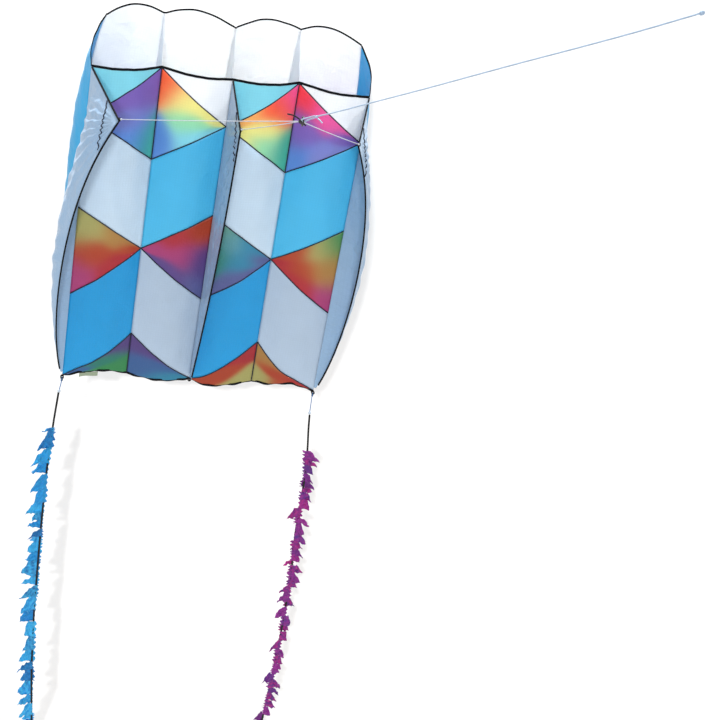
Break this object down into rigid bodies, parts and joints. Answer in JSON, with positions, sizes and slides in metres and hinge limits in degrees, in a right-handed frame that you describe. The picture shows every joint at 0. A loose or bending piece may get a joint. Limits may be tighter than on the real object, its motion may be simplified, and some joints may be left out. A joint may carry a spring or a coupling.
{
  "type": "parafoil kite",
  "caption": "Sparless ram-air kite with open-mouthed cells, fins with a bridle, a flying line on a tow ring, and two fringed tails",
  "frame": {"origin": "the tow point: the middle of the ring that the flying line holds the kite by", "axes": "+Z from the trailing edge to the leading edge, -Y on the side of the fins and bridle, +X to the right seen from that side"},
  "size_m": [0.6168, 1.3963, 2.1654],
  "materials": {
    "pieced_ripstop": "plain ripstop, pieced and printed",
    "top_ripstop": "ripstop, pieced",
    "white_ripstop": "thin white ripstop",
    "blue_ripstop": "thin blue ripstop",
    "silver_white_ripstop": "crinkled white ripstop",
    "black_binding": "folded binding tape",
    "woven_tag": "woven, blank",
    "white_cord": "braided polyester",
    "black_cord": "braided polyester",
    "black_plastic": "moulded",
    "flying_cord": "twisted polyester",
    "white_bead": "moulded",
    "blue_fringe": "cut taffeta strips",
    "purple_fringe": "cut taffeta strips"
  },
  "bodies": {
    "canopy": {"lower_skin_1": "pieced_ripstop", "lower_skin_2": "pieced_ripstop", "lower_skin_3": "pieced_ripstop", "lower_skin_4": "pieced_ripstop", "upper_skin_1": "top_ripstop", "upper_skin_2": "top_ripstop", "upper_skin_3": "top_ripstop", "upper_skin_4": "top_ripstop", "side_wall_left": "blue_ripstop", "side_wall_right": "blue_ripstop", "inner_rib_left": "white_ripstop", "inner_rib_centre": "white_ripstop", "inner_rib_right": "white_ripstop", "fin_left": "silver_white_ripstop", "fin_centre": "silver_white_ripstop", "fin_right": "silver_white_ripstop", "fin_patch_left": "silver_white_ripstop", "fin_patch_centre": "silver_white_ripstop", "fin_patch_right": "silver_white_ripstop", "fin_tape_left": "black_binding", "fin_tape_centre": "black_binding", "fin_tape_right": "black_binding", "lower_leading_tape": "black_binding", "upper_leading_tape": "black_binding", "mouth_tape_left": "black_binding", "mouth_tape_right": "black_binding", "trailing_tape": "black_binding", "tail_loop_left": "black_binding", "tail_loop_centre": "black_binding", "tail_loop_right": "black_binding", "blank_tag": "woven_tag", "bridle_lug_left": "black_binding", "bridle_lug_centre": "black_binding", "bridle_lug_right": "black_binding"},
    "bridle": {"bridle_leg_left": "white_cord", "bridle_leg_centre": "white_cord", "bridle_leg_right": "white_cord", "bridle_knot": "black_cord"},
    "tow_ring": {"tow_ring": "black_plastic"},
    "flying_line": {"line_knot": "flying_cord", "flying_line": "flying_cord", "line_end_knot": "flying_cord"},
    "left_leader": {"tail_leader_left": "white_cord", "tail_bead_left": "white_bead"},
    "left_tail": {"tail_cord_left": "black_cord", "tail_fringe_left": "blue_fringe", "tail_knot_left": "black_cord"},
    "right_leader": {"tail_leader_right": "white_cord", "tail_bead_right": "white_bead"},
    "right_tail": {"tail_cord_right": "black_cord", "tail_fringe_right": "purple_fringe", "tail_knot_right": "black_cord"}
  },
  "joints": [
    {"name": "bridle_swing", "type": "hinge", "parent": "canopy", "child": "bridle", "pos_m": [0, 0.5014, -0.2154], "axis": [1, 0, 0], "range_deg": [-50, 100], "stiffness_Nm_per_rad": 0.6},
    {"name": "ring_turn", "type": "hinge", "parent": "bridle", "child": "tow_ring", "pos_m": [0, 0.0056, -0.0022], "axis": [1, 0, 0], "range_deg": [-30, 30], "stiffness_Nm_per_rad": 0.2},
    {"name": "line_swing", "type": "hinge", "parent": "tow_ring", "child": "flying_line", "pos_m": [0, -0.005, 0.0033], "axis": [0, 0.5501, 0.8351], "range_deg": [-60, 60], "stiffness_Nm_per_rad": 0.2},
    {"name": "left_leader_sway", "type": "hinge", "parent": "canopy", "child": "left_leader", "pos_m": [-0.255, 0.675, -0.8364], "axis": [0, 1, 0], "range_deg": [-20, 35]},
    {"name": "left_tail_swing", "type": "hinge", "parent": "left_leader", "child": "left_tail", "pos_m": [-0.2583, 0.674, -0.87], "axis": [1, 0, 0], "range_deg": [-40, 40]},
    {"name": "right_leader_sway", "type": "hinge", "parent": "canopy", "child": "right_leader", "pos_m": [0.255, 0.675, -0.8364], "axis": [0, 1, 0], "range_deg": [-35, 20]},
    {"name": "right_tail_swing", "type": "hinge", "parent": "right_leader", "child": "right_tail", "pos_m": [0.2565, 0.674, -0.8868], "axis": [1, 0, 0], "range_deg": [-40, 40]}
  ]
}
